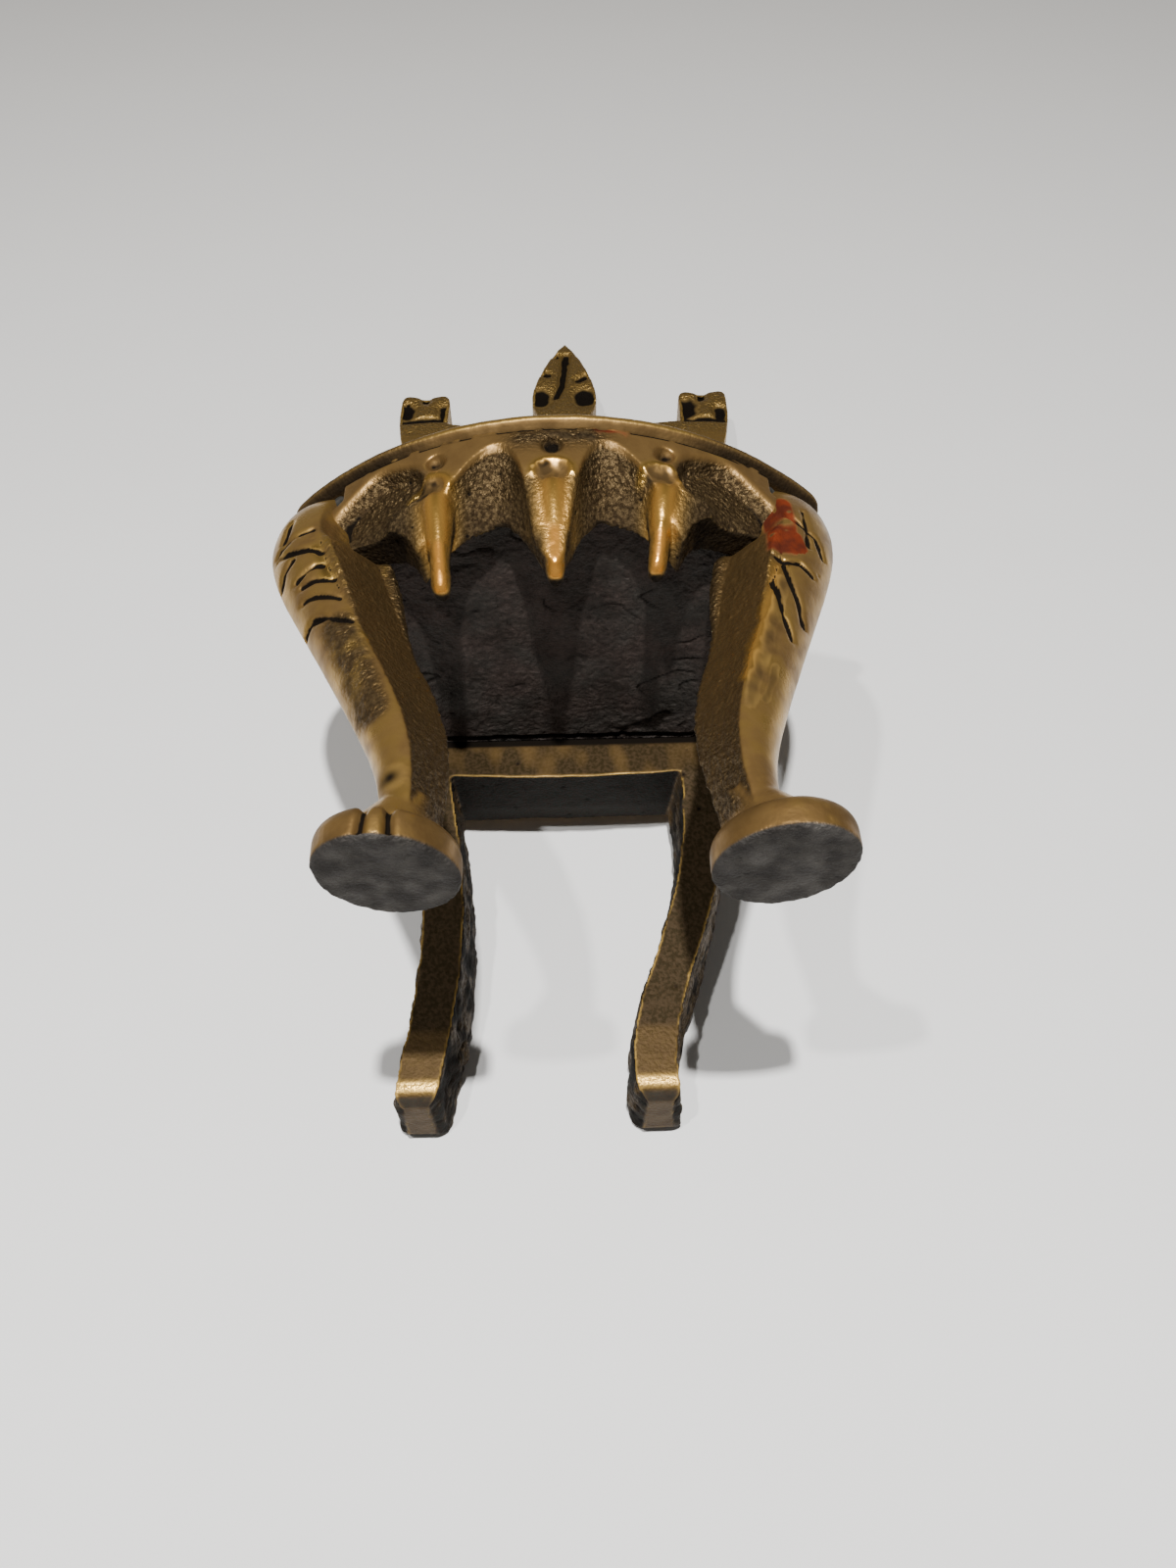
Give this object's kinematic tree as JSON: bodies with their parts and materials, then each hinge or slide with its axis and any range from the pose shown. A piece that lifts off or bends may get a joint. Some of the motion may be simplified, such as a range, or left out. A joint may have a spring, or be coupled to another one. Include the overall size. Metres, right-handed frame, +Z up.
{
  "type": "miniature chair",
  "caption": "Miniature cast-brass side chair with cabriole front legs, a fluted apron with pendant drops, and an openwork back with a leaf crest.",
  "frame": {"origin": "On the floor under the chair, midway between the front toes and the rear heels and between the two sides of the seat.", "axes": "+Z up, -Y the way the seat faces, +X to the right of someone looking at the chair's front."},
  "size_m": [0.0375, 0.0394, 0.0832],
  "materials": {
    "aged_brass": "worn cast brass with brown patina, bright on the raised edges",
    "cast_skin": "rough near-black casting skin",
    "solder": "dull grey soft solder"
  },
  "bodies": {
    "root": {"seat_plate": "aged_brass", "seat_core": "cast_skin", "front_apron": "aged_brass", "left_front_leg": "aged_brass", "right_front_leg": "aged_brass", "left_side_rail": "aged_brass", "right_side_rail": "aged_brass", "back_frame": "aged_brass", "rear_tenons": "aged_brass", "solder_fillets": "solder"}
  },
  "joints": []
}
